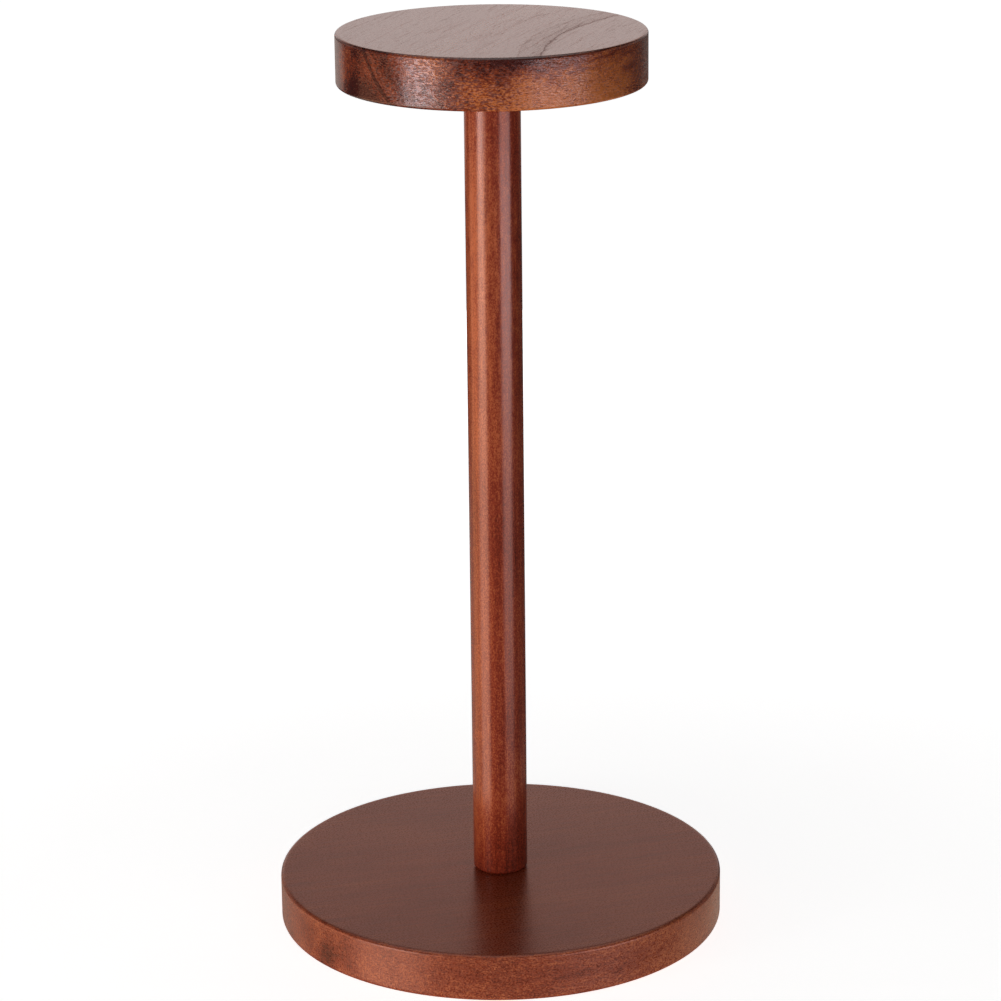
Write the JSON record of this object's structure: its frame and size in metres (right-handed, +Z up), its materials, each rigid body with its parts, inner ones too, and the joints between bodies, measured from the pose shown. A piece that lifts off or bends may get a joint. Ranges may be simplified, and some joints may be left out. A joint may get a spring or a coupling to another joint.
{
  "type": "hat stand",
  "caption": "Tabletop wooden hat stand: a round base, a straight pole and a smaller round top that carries the hat, bolted together end to end.",
  "frame": {"origin": "on the surface that the stand rests on, under the middle of the base", "axes": "+Z up along the pole, towards the face that carries the hat; the part is round, so X and Y only mark the foot pads, which lie on the diagonals"},
  "size_m": [0.18, 0.18, 0.366],
  "materials": {
    "stained_wood": "red-brown stain under semi-gloss lacquer",
    "zinc_steel": "bright zinc plate",
    "yellow_zinc": "yellow zinc plate",
    "black_rubber": "matt black rubber"
  },
  "bodies": {
    "root": {"base_disc": "stained_wood", "pole": "stained_wood", "top_disc": "stained_wood", "base_bolt": "zinc_steel", "base_washer": "zinc_steel", "hanger_bolt": "zinc_steel", "pole_insert": "yellow_zinc", "top_insert": "yellow_zinc", "foot_pad_1": "black_rubber", "foot_pad_2": "black_rubber", "foot_pad_3": "black_rubber", "foot_pad_4": "black_rubber"}
  },
  "joints": []
}
